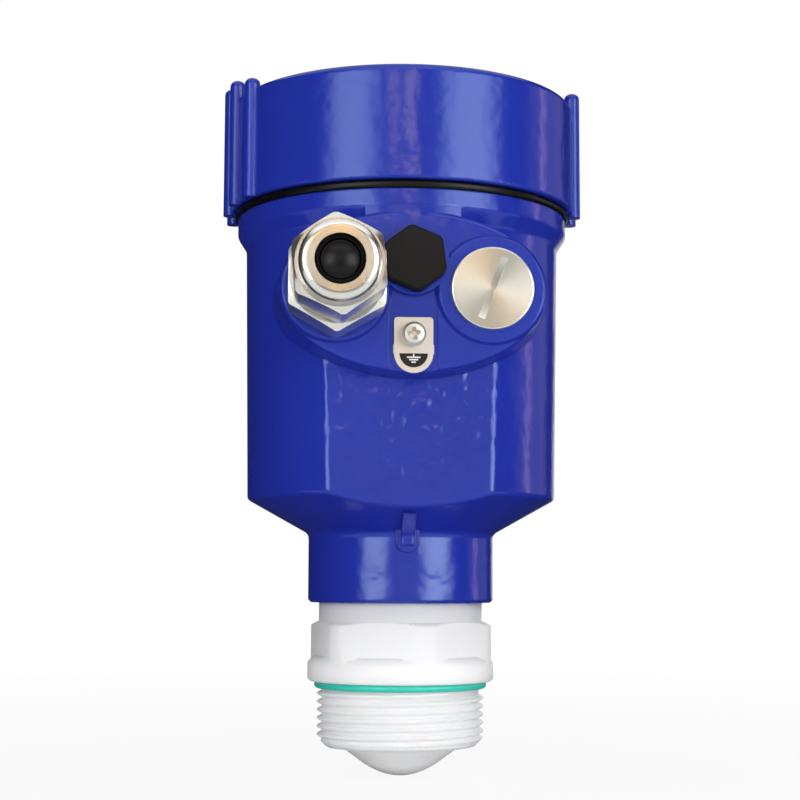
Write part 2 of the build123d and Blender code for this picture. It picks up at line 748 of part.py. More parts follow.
def make_earth_plate():
    """Clamp plate with a round lower end, a half-moon recess and a hook along its top."""
    half_width = earth_plate_width / 2
    round_z = half_width - earth_plate_drop
    outline = Pos(0, round_z) * Circle(half_width) + Pos(0, (round_z + earth_plate_rise) / 2) * Rectangle(
        earth_plate_width, earth_plate_rise - round_z)
    plate = extrude(outline, earth_plate_thickness)
    top_corners = plate.edges().filter_by(Axis.Z).group_by(Axis.Y)[-1]
    plate = fillet(top_corners, earth_plate_corner)
    plate = plate - disc(earth_thread_r + thread_gap, 0, earth_plate_thickness)
    window = Pos(0, round_z) * Circle(earth_window_r) - Pos(0, round_z + earth_window_r / 2) * Rectangle(
        3 * earth_window_r, earth_window_r)
    window_floor = earth_plate_thickness - earth_window_depth
    plate = plate - Pos(0, 0, window_floor) * extrude(window, earth_window_depth)
    hook = Pos(0, earth_plate_rise - earth_plate_thickness / 2, -earth_hook_depth / 2) * Box(
        earth_plate_width - 2 * earth_hook_margin, earth_plate_thickness, earth_hook_depth)
    for side in (-1, 1):
        nose_place = Pos(side * half_width, round_z + earth_nose_length / 2, earth_plate_thickness * 0.3)
        plate = plate + nose_place * Box(earth_nose, earth_nose_length, earth_plate_thickness * 0.6)
    return placed(earth_axis_place, plate + hook)


def make_earth_washer():
    """Split spring washer."""
    outer_r = earth_head_r - seat_gap
    washer = tube(outer_r, earth_thread_r + thread_gap, 0, earth_washer_thickness)
    split = Pos(outer_r, 0, earth_washer_thickness / 2) * Rot(25, 0, 0) * Box(
        outer_r, earth_washer_split, 3 * earth_washer_thickness)
    return placed(earth_axis_place, Pos(0, 0, earth_plate_thickness) * (washer - split))


def make_earth_screw():
    seat = earth_plate_thickness + earth_washer_thickness
    screw = pan_head_screw(earth_thread_r - thread_gap / 2, seat + earth_screw_grip, earth_head_r,
                           earth_head_height, seat)
    return placed(earth_axis_place, Rot(0, 0, earth_screw_turn) * screw)


# Process fitting and what it holds

def lens_profile():
    """Half outline of the lens as a smooth curve from its apex to the fitting's end face."""
    full_height = thread_end_z - lens_apex_z
    points = []
    steps = 6
    for number in range(steps + 1):
        height = full_height * (number / steps) ** 2
        radius = sqrt(2 * lens_vertex_radius * height + lens_cone_share * height ** 2)
        points.append((radius, 0, lens_apex_z + height))
    return points


def make_process_fitting():
    lens_points = lens_profile()
    lens_base_r = lens_points[-1][0]
    end_r = thread_r - thread_chamfer
    curve = Spline(*lens_points, tangents=[(1, 0, 0), lens_end_direction])
    rest = Polyline((lens_base_r, 0, thread_end_z), (end_r, 0, thread_end_z),
                    (thread_r, 0, thread_end_z + thread_chamfer), (thread_r, 0, thread_start_z),
                    (relief_r, 0, thread_start_z), (relief_r, 0, 0), (flange_r - flange_under_chamfer, 0, 0),
                    (flange_r, 0, flange_under_chamfer), (flange_r, 0, flange_height),
                    (flange_r - flange_chamfer, 0, fitting_flange_top_z), (0, 0, fitting_flange_top_z),
                    (0, 0, lens_apex_z))
    fitting = revolve(make_face(Wire(ShapeList(curve.edges()) + rest.edges())), Axis.Z)
    bar = hexagon(fitting_hex_af, flange_height, fitting_hex_top_z, fitting_hex_turn)
    hex_top_r = white_collar_r + hex_face_margin
    blank = turned([(0, 0), (fitting_hex_corner_r, 0),
                    (fitting_hex_corner_r, fitting_hex_top_z - fitting_hex_top_chamfer),
                    (hex_top_r, fitting_hex_top_z), (0, fitting_hex_top_z)])
    fitting = fitting + (bar & blank)
    fitting = fitting + disc(white_collar_r, flange_height, neck_bottom_z)
    spigot_r = neck_thread_r - thread_gap
    spigot_top_z = neck_bottom_z + spigot_length
    fitting = fitting + disc(spigot_r, flange_height, spigot_top_z)
    fitting = fitting - disc(fitting_bore_r, lens_back_z, spigot_top_z)
    groove_bottom_z = neck_bottom_z + neck_seal_depth
    groove = tube(neck_thread_r, neck_thread_r - neck_seal_section, groove_bottom_z,
                  groove_bottom_z + neck_groove_height)
    return fitting - groove


def make_process_seal():
    section_r = process_seal_section / 2
    return ring_seal(relief_r + seat_gap + section_r, section_r, -section_r - seat_gap)


def make_neck_seal():
    section_r = neck_seal_section / 2 - seat_gap
    middle_r = neck_thread_r - seat_gap - section_r
    return ring_seal(middle_r, section_r, neck_bottom_z + neck_seal_depth + neck_groove_height / 2)


def make_horn():
    """Turned aluminium feed: a cone that opens towards the lens, under a flange for the board."""
    outer_r = fitting_bore_r - thread_gap / 2
    body = turned([(0, horn_bottom_z), (outer_r, horn_bottom_z), (outer_r, horn_top_z), (0, horn_top_z)])
    throat_z = horn_top_z - horn_flange_thickness
    flare = turned([(0, horn_bottom_z), (horn_mouth_r, horn_bottom_z), (horn_throat_r, throat_z),
                    (horn_throat_r, horn_top_z), (0, horn_top_z)])
    horn = body - flare
    hole_bottom_z = horn_top_z - radar_screw_grip - radar_screw_hole_spare
    for place in around(radar_screw_circle_r, radar_screw_angles):
        horn = horn - place * disc(radar_screw_r + thread_gap / 2, hole_bottom_z, horn_top_z)
    return horn


def make_radar_board():
    board = disc(radar_board_r, horn_top_z, radar_board_top_z)
    for place in around(radar_screw_circle_r, radar_screw_angles):
        board = board - place * disc(radar_screw_r + radar_screw_hole_margin, horn_top_z, radar_board_top_z)
    return board


def make_radar_shield():
    """Folded tin can over the radar chip."""
    can = Pos(0, 0, radar_board_top_z + shield_height / 2) * Box(shield_size, shield_size, shield_height)
    can = fillet(can.edges().filter_by(Axis.Z), shield_corner)
    inside_size = shield_size - 2 * shield_sheet
    inside = Pos(0, 0, radar_board_top_z + shield_height / 2 - shield_sheet) * Box(
        inside_size, inside_size, shield_height)
    return can - inside


def make_radar_screws():
    shank_length = radar_board_thickness + radar_screw_grip
    screw = pan_head_screw(radar_screw_r, shank_length, radar_screw_r * 1.8, radar_screw_head_height,
                           radar_board_top_z)
    return [place * screw for place in around(radar_screw_circle_r, radar_screw_angles)]


def make_clamp_ring():
    """Threaded ring that holds the radar unit down in the fitting."""
    top = radar_board_top_z + clamp_ring_height
    ring = tube(fitting_bore_r - thread_gap / 2, radar_board_r - clamp_ring_overlap, radar_board_top_z, top)
    notch = Pos(radar_board_r, 0, top - clamp_notch_depth / 2) * Box(
        6 * clamp_ring_overlap, clamp_notch_width, clamp_notch_depth)
    for angle in radar_screw_angles:
        ring = ring - Rot(0, 0, angle) * notch
    return ring


def make_ribbon():
    """Flat cable from the radar board up to the lower board in the cup."""
    start = radar_board_top_z
    end = lower_board_z
    plug_width = ribbon_width + 2 * ribbon_plug_margin
    strip = Pos(0, ribbon_offset, (start + end) / 2) * Box(ribbon_width, ribbon_thickness, end - start)
    low_plug = Pos(0, ribbon_offset, start + ribbon_plug_height / 2) * Box(
        plug_width, ribbon_plug_depth, ribbon_plug_height)
    high_plug = Pos(0, ribbon_offset, end - ribbon_plug_height / 2) * Box(
        plug_width, ribbon_plug_depth, ribbon_plug_height)
    return strip + low_plug + high_plug


# Electronics cup

def make_module_cup():
    cup = disc(cup_r, cup_bottom_z, cup_top_z) - disc(cup_r - cup_wall, cup_bottom_z + cup_wall, cup_top_z)
    for place in around(post_circle_r, post_angles):
        cup = cup + place * disc(column_r, cup_bottom_z, cup_top_z)
        cup = cup - place * disc(module_screw_hole_r, cup_bottom_z, cup_top_z)
    slot = Pos(0, ribbon_offset, cup_bottom_z) * Box(
        ribbon_width + 2 * ribbon_slot_margin, ribbon_plug_depth + ribbon_slot_margin, 3 * cup_wall)
    return cup - slot


def make_module_cover():
    cover = disc(cup_r, cup_top_z, cover_top_z)
    cover = fillet(cover.edges().sort_by(Axis.Z)[-1], cover_edge)
    for place in around(post_circle_r, post_angles):
        cover = cover - place * disc(module_screw_hole_r, cup_top_z, cover_top_z)
    return cover


def circuit_board(height):
    board = disc(board_r, height, height + board_thickness)
    for place in around(post_circle_r, post_angles):
        board = board - place * disc(column_r + board_hole_margin, height, height + board_thickness)
    return board


def make_standoffs():
    """Hexagonal spacers that carry the two boards over the cup's floor."""
    low = hexagon(standoff_af, cup_bottom_z + cup_wall, lower_board_z)
    high = hexagon(standoff_af, lower_board_z + board_thickness, upper_board_z)
    places = around(standoff_circle_r, standoff_angles)
    return [place * low for place in places] + [place * high for place in places]


def make_board_parts():
    """The larger components on the boards: capacitors, a transformer, coils and chips."""
    parts = []
    for board_z, round_parts, square_parts in (
            (lower_board_z, lower_round_parts, lower_square_parts),
            (upper_board_z, upper_round_parts, upper_square_parts)):
        top = board_z + board_thickness
        for across, back, radius, height in round_parts:
            place = Pos(across * standoff_circle_r, back * standoff_circle_r, 0)
            parts.append(place * disc(radius, top, top + height))
        for across, back, width, depth, height in square_parts:
            place = Pos(across * standoff_circle_r, back * standoff_circle_r, top + height / 2)
            parts.append(place * Box(width, depth, height))
    return parts


def make_module_screws():
    length = cover_top_z - cup_bottom_z + module_screw_grip
    screw = pan_head_screw(module_screw_r, length, screw_head_r, screw_head_height, cover_top_z)
    return [place * screw for place in around(post_circle_r, post_angles)]


def make_terminal_block():
    """Moulded block with a wire hole and a screw well for each terminal."""
    top = cover_top_z + terminal_height
    block = Pos(0, terminal_y, cover_top_z + terminal_height / 2) * Box(
        terminal_length, terminal_depth, terminal_height)
    block = chamfer(block.edges().filter_by(Axis.X).sort_by(Axis.Z)[-2:], terminal_chamfer)
    for x in terminal_xs:
        wire_way = Pos(x, terminal_y, wire_hole_z) * Box(
            terminal_wire_hole, terminal_depth, terminal_wire_hole)
        well = Pos(x, terminal_y, 0) * disc(terminal_screw_head_r + thread_gap, wire_hole_z, top)
        block = block - wire_way - well
    return block


def make_terminal_clamps():
    """Brass wire cages under the terminal screws."""
    clamps = []
    size = terminal_wire_hole - terminal_cage_margin
    inside = size - 2 * terminal_cage_wall
    for x in terminal_xs:
        cage = Pos(x, terminal_y, wire_hole_z) * Box(size, terminal_depth - 2 * terminal_cage_setback, size)
        wire_space = Pos(x, terminal_y, wire_hole_z - terminal_cage_margin)
        cage = cage - wire_space * Box(inside, terminal_depth, inside)
        screw_hole = disc(terminal_screw_r + radar_screw_hole_margin, wire_hole_z, wire_hole_z + size)
        clamps.append(cage - Pos(x, terminal_y, 0) * screw_hole)
    return clamps


def make_terminal_screws():
    seat = cover_top_z + terminal_height - terminal_screw_sunk
    head_top = seat + terminal_screw_head_height
    screws = []
    for x in terminal_xs:
        shank = disc(terminal_screw_r, wire_hole_z - terminal_cage_margin, seat)
        head = disc(terminal_screw_head_r, seat, head_top)
        slot = Pos(0, 0, head_top) * Box(
            3 * terminal_screw_head_r, terminal_slot_width, terminal_screw_head_height)
        screws.append(Pos(x, terminal_y, 0) * (shank + head - slot))
    return screws


# Earth screw inside

def make_inner_earth_washer():
    ring = tube(inner_earth_post_r, earth_thread_r + thread_gap, inner_earth_top_z,
                inner_earth_top_z + inner_earth_washer_thickness)
    return Pos(0, inner_earth_circle_r, 0) * ring


def make_inner_earth_screw():
    screw = pan_head_screw(earth_thread_r - thread_gap / 2, inner_earth_screw_length, inner_earth_head_r,
                           screw_head_height, inner_earth_top_z + inner_earth_washer_thickness)
    return Pos(0, inner_earth_circle_r, 0) * screw


def build():
    nodes = {
        "housing": make_housing(),
        "lid": make_lid(),
        "lid_seal": make_lid_seal(),
        "gland_body": make_gland_body(),
        "gland_body_seal": make_gland_body_seal(),
        "gland_nut": make_gland_nut(),
        "gland_cage": make_gland_cage(),
        "gland_seal": make_gland_seal(),
        "gland_dust_plug": make_gland_dust_plug(),
        "blind_plug": make_blind_plug(),
        "blind_plug_seal": make_plug_seal(),
        "vent_body": make_vent_body(),
        "vent_seal": make_vent_seal(),
        "vent_membrane": make_vent_membrane(),
        "earth_plate": make_earth_plate(),
        "earth_washer": make_earth_washer(),
        "earth_screw": make_earth_screw(),
        "process_fitting": make_process_fitting(),
        "process_seal": make_process_seal(),
        "neck_seal": make_neck_seal(),
        "antenna_horn": make_horn(),
        "radar_board": make_radar_board(),
        "radar_shield": make_radar_shield(),
        "radar_screws": make_radar_screws(),
        "radar_clamp_ring": make_clamp_ring(),
        "ribbon_cable": make_ribbon(),
        "module_cup": make_module_cup(),
        "module_cover": make_module_cover(),
        "supply_board": circuit_board(lower_board_z),
        "signal_board": circuit_board(upper_board_z),
        "board_standoffs": make_standoffs(),
        "board_components": make_board_parts(),
        "module_screws": make_module_screws(),
        "terminal_block": make_terminal_block(),
        "terminal_clamps": make_terminal_clamps(),
        "terminal_screws": make_terminal_screws(),
        "inner_earth_washer": make_inner_earth_washer(),
        "inner_earth_screw": make_inner_earth_screw(),
    }
    os.makedirs("parts", exist_ok=True)
    for name, shape in nodes.items():
        solids = shape if isinstance(shape, list) else shape.solids()
        piece = solids[0] if len(solids) == 1 else Compound(children=list(solids))
        export_step(piece, "parts/" + name + ".step")
        print(name, len(solids), "solid(s)")


build()
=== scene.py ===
import math
import bmesh
import bpy
from mathutils import Matrix, Vector


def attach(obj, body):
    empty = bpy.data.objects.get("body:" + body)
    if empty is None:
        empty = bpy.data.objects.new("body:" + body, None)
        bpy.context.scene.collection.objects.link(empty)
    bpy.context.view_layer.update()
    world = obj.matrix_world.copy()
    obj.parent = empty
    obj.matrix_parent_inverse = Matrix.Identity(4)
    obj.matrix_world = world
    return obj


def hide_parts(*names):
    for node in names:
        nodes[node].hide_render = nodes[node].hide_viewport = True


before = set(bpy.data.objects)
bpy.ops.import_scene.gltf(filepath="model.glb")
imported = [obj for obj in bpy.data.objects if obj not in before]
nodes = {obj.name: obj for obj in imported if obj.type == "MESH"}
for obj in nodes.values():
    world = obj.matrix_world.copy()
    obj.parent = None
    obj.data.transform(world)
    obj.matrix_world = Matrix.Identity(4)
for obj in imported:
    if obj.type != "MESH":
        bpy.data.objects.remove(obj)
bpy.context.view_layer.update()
mm = 0.001
print("frame loaded:", len(nodes), "nodes")


def linear(hexColour):
    channels = [int(hexColour[i:i + 2], 16) / 255 for i in (0, 2, 4)]
    return [c / 12.92 if c <= 0.04045 else ((c + 0.055) / 1.055) ** 2.4 for c in channels] + [1.0]


def addNode(tree, kind, settings=None, links=None):
    # a setting is an attribute of the node where it has one of that name, else an input's value
    node = tree.nodes.new(kind)
    for key, value in (settings or {}).items():
        if isinstance(key, str) and hasattr(node, key):
            setattr(node, key, value)
        else:
            node.inputs[key].default_value = value
    for key, (source, output) in (links or {}).items():
        tree.links.new(source.outputs[output], node.inputs[key])
    return node


# Finishes

waveRepeat = 0.314            # metres after which a wave texture of scale 1 repeats


def perMm(size):
    return 1.0 / (size * mm)            # noise scale for features of this size


def startFinish(name, colour, roughness, **constants):
    finish = bpy.data.materials.new(name)
    finish.use_nodes = True
    tree = finish.node_tree
    surface = tree.nodes["Principled BSDF"]
    surface.inputs["Base Color"].default_value = linear(colour)
    surface.inputs["Roughness"].default_value = roughness
    for key, value in constants.items():
        surface.inputs[key.replace("_", " ")].default_value = value
    place = addNode(tree, "ShaderNodeTexCoord")
    return finish, tree, surface, place


def mottleColour(tree, surface, place, first, second, size, detail):
    # the colour drifts softly between two near shades, in patches of the given size
    cloud = addNode(tree, "ShaderNodeTexNoise", {"Scale": perMm(size), "Detail": detail},
                    {"Vector": (place, "Object")})
    tint = addNode(tree, "ShaderNodeMix", {"data_type": "RGBA", 6: linear(first), 7: linear(second)},
                   {0: (cloud, "Fac")})
    tree.links.new(tint.outputs[2], surface.inputs["Base Color"])
    return cloud


def varyGloss(tree, surface, cloud, roughness, brighter, duller):
    # the same patches are a little brighter or duller than the rest
    dull = addNode(tree, "ShaderNodeMapRange", {"To Min": roughness - brighter, "To Max": roughness + duller},
                   {"Value": (cloud, "Fac")})
    tree.links.new(dull.outputs["Result"], surface.inputs["Roughness"])


def raiseSurface(tree, surface, height, pattern, output, strength=1.0):
    bump = addNode(tree, "ShaderNodeBump", {"Strength": strength, "Distance": height * mm},
                   {"Height": (pattern, output)})
    tree.links.new(bump.outputs["Normal"], surface.inputs["Normal"])


# Sizes and heights are in millimetres. The label's flat lies at flatY, and its dents lie within flatReach of
# its middle, where they fade from the share flatFade of that reach.

powderCoat = {"deepBlue": "18268D", "midBlue": "1D2D9B", "glossTint": "D3ECFF", "roughness": 0.17, "ior": 1.5,
              "patchSize": 38, "edgeRound": 0.6, "edgeSamples": 4, "peelSize": 2.4, "peelHeight": 0.05,
              "waveSize": 7.0, "waveHeight": 0.22, "dentSize": 3.4, "dentHeight": 0.4, "dentFrom": 0.42,
              "flatY": -38.7, "flatMiddle": 79.0, "flatReach": 34.0, "flatFade": 0.5, "depthStretch": 40}


def makeDents(tree, place):
    # the label's flat keeps a few soft dents of the casting, fewer towards its edges
    dents = addNode(tree, "ShaderNodeTexNoise", {"Scale": perMm(powderCoat["dentSize"]), "Detail": 0.5},
                    {"Vector": (place, "Object")})
    sparse = addNode(tree, "ShaderNodeMapRange", {"From Min": powderCoat["dentFrom"], "From Max": 1.0},
                     {"Value": (dents, "Fac")})
    middle = (0, powderCoat["flatY"] * mm, powderCoat["flatMiddle"] * mm)
    fromMiddle = addNode(tree, "ShaderNodeVectorMath", {"operation": "SUBTRACT", 1: middle},
                         {0: (place, "Object")})
    # stretched along Y, so that only the flat itself lies within reach
    stretch = (1, powderCoat["depthStretch"], 1)
    stretched = addNode(tree, "ShaderNodeVectorMath", {"operation": "MULTIPLY", 1: stretch},
                        {0: (fromMiddle, 0)})
    distance = addNode(tree, "ShaderNodeVectorMath", {"operation": "LENGTH"}, {0: (stretched, 0)})
    reach = powderCoat["flatReach"] * mm
    flat = addNode(tree, "ShaderNodeMapRange", {"interpolation_type": "SMOOTHSTEP", "From Max": reach,
                   "From Min": powderCoat["flatFade"] * reach, "To Min": 1.0, "To Max": 0.0},
                   {"Value": (distance, "Value")})
    return addNode(tree, "ShaderNodeMath", {"operation": "MULTIPLY"}, {0: (sparse, 0), 1: (flat, 0)})


def makePowderCoat():
    # glossy polyester powder over die-cast aluminium: deep even blue, orange peel that bends reflections
    finish, tree, surface, place = startFinish("powder coat on cast aluminium", powderCoat["midBlue"],
                                               powderCoat["roughness"], IOR=powderCoat["ior"],
                                               Specular_Tint=linear(powderCoat["glossTint"]))
    mottleColour(tree, surface, place, powderCoat["deepBlue"], powderCoat["midBlue"],
                 powderCoat["patchSize"], detail=3.0)
    peel = addNode(tree, "ShaderNodeTexNoise", {"Scale": perMm(powderCoat["peelSize"]), "Detail": 1.0},
                   {"Vector": (place, "Object")})
    wave = addNode(tree, "ShaderNodeTexNoise", {"Scale": perMm(powderCoat["waveSize"]), "Detail": 1.5},
                   {"Vector": (place, "Object")})
    dents = makeDents(tree, place)
    # the coat runs round over the casting's edges, and each relief lies on the one before
    skin = addNode(tree, "ShaderNodeBevel", {"samples": powderCoat["edgeSamples"],
                   "Radius": powderCoat["edgeRound"] * mm})
    for pattern, output, height in ((peel, "Fac", "peelHeight"), (wave, "Fac", "waveHeight"),
                                    (dents, "Value", "dentHeight")):
        skin = addNode(tree, "ShaderNodeBump", {"Strength": 1.0, "Distance": powderCoat[height] * mm},
                       {"Height": (pattern, output), "Normal": (skin, "Normal")})
    tree.links.new(skin.outputs["Normal"], surface.inputs["Normal"])
    return finish


fluoropolymer = {"colour": "EAEAEA", "shade": "E4E4E5", "roughness": 0.36, "ior": 1.38, "gloss": 0.2,
                 "glow": 0.12, "glowDepth": 1.5, "patchSize": 9, "turnPitch": 0.5, "turnHeight": 0.003,
                 "turnWander": 0.6}


def makeFluoropolymer():
    # turned white fluoropolymer: waxy, slightly soft sheen, faint tool lines round the axis
    finish, tree, surface, place = startFinish("turned white fluoropolymer", fluoropolymer["colour"],
                                               fluoropolymer["roughness"], IOR=fluoropolymer["ior"],
                                               Specular_IOR_Level=fluoropolymer["gloss"],
                                               Subsurface_Weight=fluoropolymer["glow"],
                                               Subsurface_Scale=fluoropolymer["glowDepth"] * mm)
    mottleColour(tree, surface, place, fluoropolymer["shade"], fluoropolymer["colour"],
                 fluoropolymer["patchSize"], detail=4.0)
    lines = addNode(tree, "ShaderNodeTexWave", {"wave_type": "BANDS", "bands_direction": "Z",
                    "Distortion": fluoropolymer["turnWander"],
                    "Scale": waveRepeat * perMm(fluoropolymer["turnPitch"])}, {"Vector": (place, "Object")})
    raiseSurface(tree, surface, fluoropolymer["turnHeight"], lines, "Fac")
    return finish


rubber = {"ior": 1.5, "patchSize": 3, "grainSize": 0.5, "grainHeight": 0.01, "grainStrength": 0.8}
rubbers = {
    "moulded green rubber": {"colour": "2CC6B4", "shade": "22B7A3", "roughness": 0.42, "gloss": 0.5},
    "moulded black rubber": {"colour": "070708", "shade": "0B0B0D", "roughness": 0.34, "gloss": 0.2},
}


def makeRubber(name, colour, shade, roughness, gloss):
    # moulded rubber: even colour, satin skin with a fine grain
    finish, tree, surface, place = startFinish(name, colour, roughness, IOR=rubber["ior"],
                                               Specular_IOR_Level=gloss)
    mottleColour(tree, surface, place, colour, shade, rubber["patchSize"], detail=5.0)
    grain = addNode(tree, "ShaderNodeTexNoise", {"Scale": perMm(rubber["grainSize"]), "Detail": 2.0},
                    {"Vector": (place, "Object")})
    raiseSurface(tree, surface, rubber["grainHeight"], grain, "Fac", rubber["grainStrength"])
    return finish


# the cable gland and the blind plug lie along Y, one at each side
entries = {"glandX": -20.85, "plugX": 20.85, "axisZ": 105.8}
nickelPlate = {"ringPitch": 0.35, "ringHeight": 0.0012, "ringWander": 0.1, "hazeSize": 4, "brighter": 0.02,
               "duller": 0.03, "stretch": 0.5, "stretchTurn": 0.25}
nickels = {
    "nickel plate on the gland": {"colour": "E8E9E4", "tarnish": "DEDDD5", "roughness": 0.26,
                                  "axisX": entries["glandX"]},
    "nickel plate on the plug": {"colour": "E8ECE6", "tarnish": "DFE1D8", "roughness": 0.3,
                                 "axisX": entries["plugX"]},
}


def makeNickel(name, colour, tarnish, roughness, axisX):
    # nickel over turned brass: warm mirror, fine tool rings that pull highlights into a double cone
    finish, tree, surface, place = startFinish(name, colour, roughness, Metallic=1.0,
                                               Anisotropic=nickelPlate["stretch"],
                                               Anisotropic_Rotation=nickelPlate["stretchTurn"])
    centred = addNode(tree, "ShaderNodeMapping", {"Location": (-axisX * mm, 0, -entries["axisZ"] * mm)},
                      {"Vector": (place, "Object")})
    rings = addNode(tree, "ShaderNodeTexWave", {"wave_type": "RINGS", "rings_direction": "Y", "Detail": 2.0,
                    "Distortion": nickelPlate["ringWander"],
                    "Scale": waveRepeat * perMm(nickelPlate["ringPitch"])}, {"Vector": (centred, 0)})
    haze = mottleColour(tree, surface, place, colour, tarnish, nickelPlate["hazeSize"], detail=5.0)
    varyGloss(tree, surface, haze, roughness, nickelPlate["brighter"], nickelPlate["duller"])
    raiseSurface(tree, surface, nickelPlate["ringHeight"], rings, "Fac")
    around = addNode(tree, "ShaderNodeTangent", {"direction_type": "RADIAL", "axis": "Y"})
    tree.links.new(around.outputs["Tangent"], surface.inputs["Tangent"])
    return finish


mouldedPlastic = {"ior": 1.49, "patchSize": 6, "grainSize": 0.6, "grainHeight": 0.012}
plastics = {
    "moulded black polyamide": {"colour": "0D0C0A", "shade": "13120F", "roughness": 0.55, "gloss": 0.15},
    "moulded grey polyamide": {"colour": "8C8E90", "shade": "85878A", "roughness": 0.45, "gloss": 0.5},
    "moulded dark grey polyester": {"colour": "2C2D30", "shade": "343539", "roughness": 0.5, "gloss": 0.5},
    "moulded green polyamide": {"colour": "1E8A4A", "shade": "238F50", "roughness": 0.4, "gloss": 0.5},
    "black component bodies": {"colour": "1A1A1C", "shade": "222225", "roughness": 0.35, "gloss": 0.5},
    "grey ribbon insulation": {"colour": "A7A8AB", "shade": "9D9EA2", "roughness": 0.4, "gloss": 0.5},
    "porous vent membrane": {"colour": "E3E2DD", "shade": "DAD9D3", "roughness": 0.7, "gloss": 0.5},
    "black enamel": {"colour": "0E0E0F", "shade": "151516", "roughness": 0.3, "gloss": 0.5},
    "white enamel": {"colour": "E4E4E2", "shade": "D8D8D6", "roughness": 0.35, "gloss": 0.5},
}


def makeMoulded(name, colour, shade, roughness, gloss):
    # moulded technical plastic or enamel: skin with a fine spark-eroded grain
    finish, tree, surface, place = startFinish(name, colour, roughness, IOR=mouldedPlastic["ior"],
                                               Specular_IOR_Level=gloss)
    mottleColour(tree, surface, place, colour, shade, mouldedPlastic["patchSize"], detail=4.0)
    grain = addNode(tree, "ShaderNodeTexVoronoi", {"Scale": perMm(mouldedPlastic["grainSize"])},
                    {"Vector": (place, "Object")})
    raiseSurface(tree, surface, mouldedPlastic["grainHeight"], grain, "Distance")
    return finish


plainMetal = {"brushPitch": 0.25, "brushHeight": 0.0022, "hazeSize": 3.5, "brighter": 0.05, "duller": 0.08}
# the brush lines run the way whose value is small
metals = {
    "pressed stainless steel": {"colour": "E6E3DD", "shade": "D8D4CC", "roughness": 0.42,
                                "brush": (1, 1, 0.06)},
    "turned aluminium": {"colour": "DADBDD", "shade": "CFD0D2", "roughness": 0.26, "brush": (0.08, 0.08, 1)},
    "tinned sheet steel": {"colour": "CFCFCA", "shade": "BEBEB9", "roughness": 0.3, "brush": (1, 0.1, 1)},
    "plain brass": {"colour": "C9A457", "shade": "B9954B", "roughness": 0.3, "brush": (1, 1, 0.1)},
}


def makeMetal(name, colour, shade, roughness, brush):
    # rolled or turned metal: fine lines one way and a faint cloudiness in the gloss
    finish, tree, surface, place = startFinish(name, colour, roughness, Metallic=1.0)
    stretched = addNode(tree, "ShaderNodeMapping", {"Scale": brush}, {"Vector": (place, "Object")})
    lines = addNode(tree, "ShaderNodeTexNoise", {"Scale": perMm(plainMetal["brushPitch"]), "Detail": 2.0},
                    {"Vector": (stretched, 0)})
    haze = mottleColour(tree, surface, place, colour, shade, plainMetal["hazeSize"], detail=4.0)
    varyGloss(tree, surface, haze, roughness, plainMetal["brighter"], plainMetal["duller"])
    raiseSurface(tree, surface, plainMetal["brushHeight"], lines, "Fac")
    return finish


solderMask = {"board": "0B5A2A", "copper": "137A3B", "roughness": 0.3, "ior": 1.5, "traceSize": 2.4,
              "traceHeight": 0.03, "edgeFrom": 0.55, "edgeTo": 0.6}


def makeCircuitBoard():
    # green solder mask over copper: glossy, with the traces showing lighter and slightly raised
    finish, tree, surface, place = startFinish("solder mask on glass fibre board", solderMask["board"],
                                               solderMask["roughness"], IOR=solderMask["ior"])
    traces = addNode(tree, "ShaderNodeTexVoronoi", {"distance": "MANHATTAN", "feature": "F2",
                     "Scale": perMm(solderMask["traceSize"])}, {"Vector": (place, "Object")})
    edge = addNode(tree, "ShaderNodeMapRange", {"From Min": solderMask["edgeFrom"],
                   "From Max": solderMask["edgeTo"]}, {"Value": (traces, "Distance")})
    tint = addNode(tree, "ShaderNodeMix", {"data_type": "RGBA", 6: linear(solderMask["board"]),
                   7: linear(solderMask["copper"])}, {0: (edge, "Result")})
    tree.links.new(tint.outputs[2], surface.inputs["Base Color"])
    raiseSurface(tree, surface, solderMask["traceHeight"], edge, "Result")
    return finish


finishes = {finish.name: finish for finish in (makePowderCoat(), makeFluoropolymer(), makeCircuitBoard())}
kinds = [(makeRubber, rubbers), (makeNickel, nickels), (makeMoulded, plastics), (makeMetal, metals)]
for makeKind, table in kinds:
    for name, values in table.items():
        finishes[name] = makeKind(name, **values)

nodesOf = {
    "powder coat on cast aluminium": ["housing", "lid"],
    "turned white fluoropolymer": ["process_fitting"],
    "moulded green rubber": ["process_seal"],
    "moulded black rubber": ["lid_seal", "gland_body_seal", "gland_seal", "gland_dust_plug",
                             "blind_plug_seal", "vent_seal", "neck_seal"],
    "nickel plate on the gland": ["gland_body", "gland_nut"],
    "nickel plate on the plug": ["blind_plug"],
    "moulded black polyamide": ["vent_body"],
    "porous vent membrane": ["vent_membrane"],
    "moulded grey polyamide": ["gland_cage"],
    "pressed stainless steel": ["earth_plate", "earth_washer", "earth_screw", "inner_earth_washer",
                                "inner_earth_screw", "radar_screws", "module_screws", "terminal_screws"],
    "turned aluminium": ["antenna_horn", "radar_clamp_ring"],
    "tinned sheet steel": ["radar_shield"],
    "solder mask on glass fibre board": ["radar_board", "supply_board", "signal_board"],
    "grey ribbon insulation": ["ribbon_cable"],
    "moulded dark grey polyester": ["module_cup", "module_cover"],
    "plain brass": ["board_standoffs", "terminal_clamps"],
    "black component bodies": ["board_components"],
    "moulded green polyamide": ["terminal_block"],
}
for name, painted in nodesOf.items():
    for node in painted:
        for materialSlot in nodes[node].material_slots:
            materialSlot.material = finishes[name]
print("finishes on", sum(len(painted) for painted in nodesOf.values()), "nodes")


# New pieces

